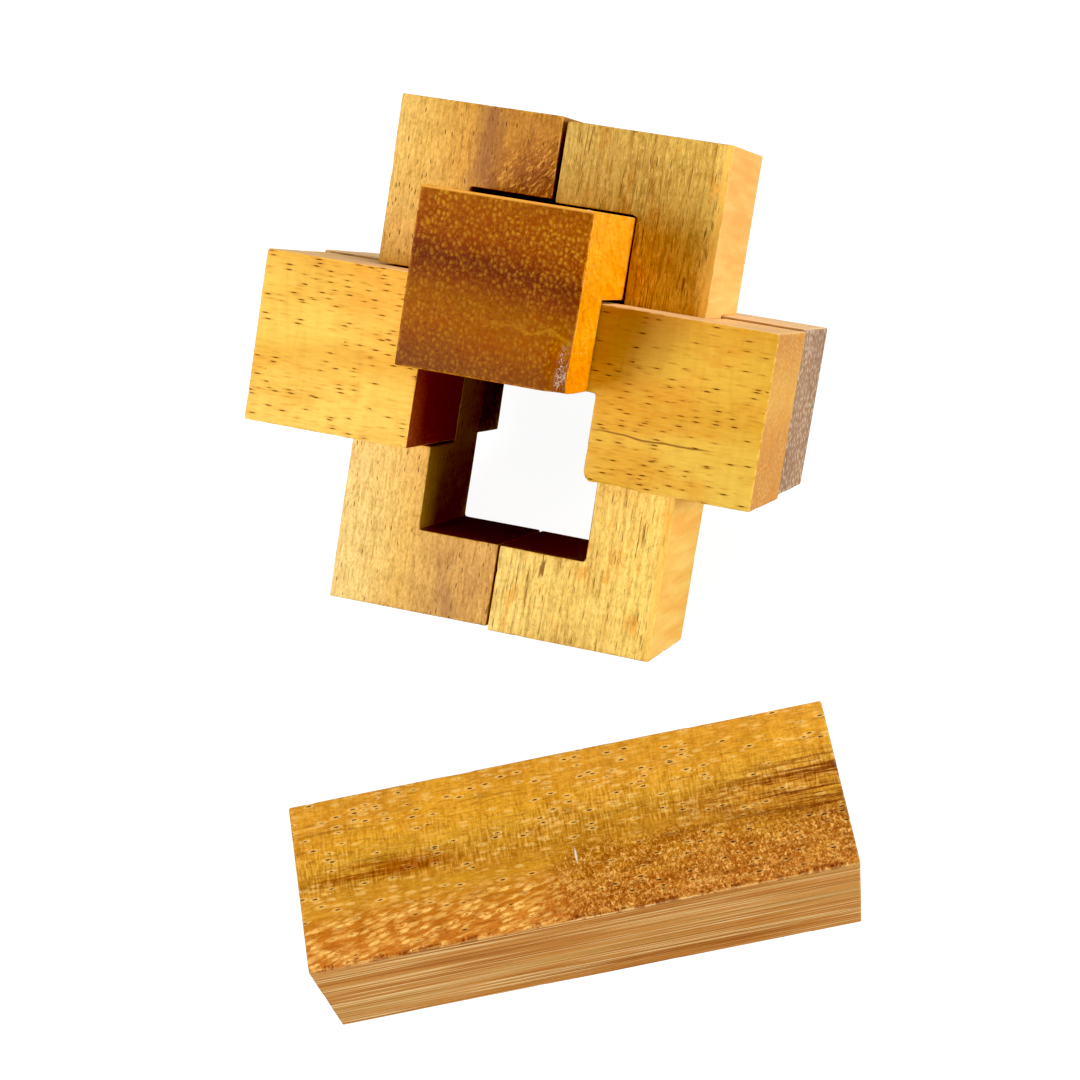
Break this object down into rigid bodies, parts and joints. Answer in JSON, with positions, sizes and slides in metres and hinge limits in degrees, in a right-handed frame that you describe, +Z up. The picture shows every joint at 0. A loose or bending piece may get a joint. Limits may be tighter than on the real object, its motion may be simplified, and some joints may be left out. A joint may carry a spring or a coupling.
{
  "type": "wooden burr puzzle",
  "caption": "Wooden interlocking burr puzzle of notched square sticks, leaning back on a surface, with its plain key stick pulled out and lying in front of it.",
  "frame": {"origin": "on the surface it stands on, under the middle of the box round the whole arrangement", "axes": "+Z up; +X along the two cross sticks, the way the right half slides out; +Y from the key towards the burr"},
  "size_m": [0.0984, 0.1368, 0.0758],
  "materials": {
    "crown_wood": "satin, dark brown end grain with golden pores",
    "front_cross_wood": "satin, bright golden wood with short dark pores",
    "right_upright_wood": "satin, golden olive wood with dark lengthwise lines",
    "rear_cross_wood": "satin, grey-brown wood with a pale upper face",
    "left_upright_wood": "satin, light gold wood with brown and purplish streaks",
    "key_wood": "satin, golden orange wood with dark lengthwise bands"
  },
  "bodies": {
    "crown": {"crown_stick": "crown_wood"},
    "right_half": {"front_cross_stick": "front_cross_wood", "right_upright_stick": "right_upright_wood"},
    "left_half": {"rear_cross_stick": "rear_cross_wood", "left_upright_stick": "left_upright_wood"},
    "key": {"key_stick": "key_wood"}
  },
  "joints": [
    {"name": "right_half_slide", "type": "slide", "parent": "crown", "child": "right_half", "axis": [1, 0, 0], "range_m": [0, 0.052]},
    {"name": "left_half_slide", "type": "slide", "parent": "crown", "child": "left_half", "axis": [-1, 0, 0], "range_m": [0, 0.052]},
    {"name": "key_lift", "type": "slide", "parent": "crown", "child": "key", "axis": [0, 0, 1], "range_m": [0, 0.08]}
  ]
}
